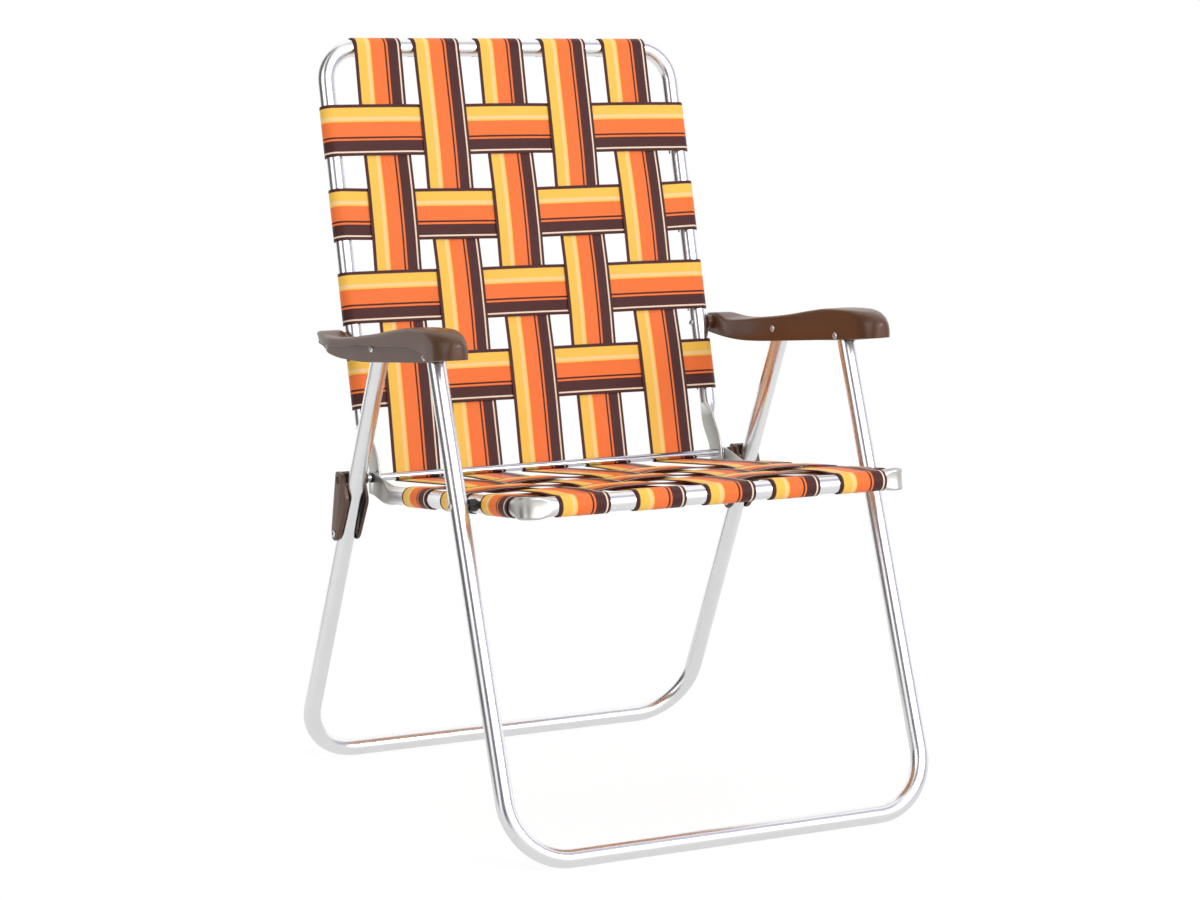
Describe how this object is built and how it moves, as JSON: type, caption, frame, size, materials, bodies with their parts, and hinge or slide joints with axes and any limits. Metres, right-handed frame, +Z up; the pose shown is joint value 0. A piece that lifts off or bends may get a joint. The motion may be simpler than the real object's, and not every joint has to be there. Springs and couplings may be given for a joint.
{
  "type": "folding webbed lawn chair",
  "caption": "Folding lawn chair of bent tube with woven striped webbing on seat and back, contoured armrests and U-shaped leg frames that fold flat together.",
  "frame": {"origin": "on the floor, under the middle of the open chair's bounding box", "axes": "+Z up, +X across the chair to the sitter's left, the sitter faces -Y"},
  "size_m": [0.5392, 0.5416, 0.8048],
  "materials": {
    "aluminium_tube": "polished",
    "steel_fastener": "bright",
    "brown_plastic": "satin",
    "black_plastic": "satin",
    "webbing": "woven, striped yellow, orange, brown and cream"
  },
  "bodies": {
    "seat": {"seat_frame": "aluminium_tube", "hinge_rod": "steel_fastener", "hinge_washer_left": "steel_fastener", "hinge_washer_right": "steel_fastener", "rod_ring_left": "black_plastic", "rod_ring_right": "black_plastic", "rod_cap_left": "black_plastic", "rod_cap_right": "black_plastic", "leg_spacer_left": "black_plastic", "leg_spacer_right": "black_plastic", "seat_leg_rivet_left": "steel_fastener", "seat_leg_rivet_right": "steel_fastener", "seat_length_web_1": "webbing", "seat_length_web_2": "webbing", "seat_length_web_3": "webbing", "seat_length_web_4": "webbing", "seat_length_web_5": "webbing", "seat_cross_web_1": "webbing", "seat_cross_web_2": "webbing", "seat_cross_web_3": "webbing"},
    "back": {"back_frame": "aluminium_tube", "arm_back_rivet_left": "steel_fastener", "arm_back_rivet_right": "steel_fastener", "arm_bush_left": "brown_plastic", "arm_bush_right": "brown_plastic", "back_upright_web_1": "webbing", "back_upright_web_2": "webbing", "back_upright_web_3": "webbing", "back_upright_web_4": "webbing", "back_upright_web_5": "webbing", "back_cross_web_1": "webbing", "back_cross_web_2": "webbing", "back_cross_web_3": "webbing", "back_cross_web_4": "webbing"},
    "front_legs": {"front_leg_frame": "aluminium_tube"},
    "arms": {"armrest_left": "brown_plastic", "armrest_right": "brown_plastic", "arm_front_rivet_left": "steel_fastener", "arm_front_rivet_right": "steel_fastener", "arm_rear_rivet_left": "steel_fastener", "arm_rear_rivet_right": "steel_fastener"},
    "rear_legs": {"rear_leg_frame": "aluminium_tube"},
    "links": {"link_plate_inner_left": "brown_plastic", "link_plate_inner_right": "brown_plastic", "link_plate_outer_left": "brown_plastic", "link_plate_outer_right": "brown_plastic", "link_rivet_inner_left": "steel_fastener", "link_rivet_inner_right": "steel_fastener", "link_rivet_outer_left": "steel_fastener", "link_rivet_outer_right": "steel_fastener"}
  },
  "joints": [
    {"name": "back_fold", "type": "hinge", "parent": "seat", "child": "back", "pos_m": [0, 0.12351, 0.33764], "axis": [1, 0, 0], "range_deg": [0, 98]},
    {"name": "front_leg_fold", "type": "hinge", "parent": "seat", "child": "front_legs", "pos_m": [0, -0.1366, 0.34703], "axis": [1, 0, 0], "range_deg": [0, 98]},
    {"name": "arm_fold", "type": "hinge", "parent": "back", "child": "arms", "pos_m": [0, 0.17694, 0.48208], "axis": [1, 0, 0], "range_deg": [-98, 0]},
    {"name": "rear_leg_fold", "type": "hinge", "parent": "arms", "child": "rear_legs", "pos_m": [0, 0.04312, 0.4869], "axis": [1, 0, 0], "range_deg": [0, 55.26]},
    {"name": "link_fold", "type": "hinge", "parent": "seat", "child": "links", "pos_m": [0, 0.12351, 0.33764], "axis": [1, 0, 0], "range_deg": [-93.98, 0]}
  ],
  "couplings": [
    {"joint": "front_leg_fold", "follows": "back_fold", "ratio": 1},
    {"joint": "arm_fold", "follows": "back_fold", "ratio": -1},
    {"joint": "rear_leg_fold", "follows": "back_fold", "ratio": 0.56379},
    {"joint": "link_fold", "follows": "back_fold", "ratio": -0.95891}
  ]
}
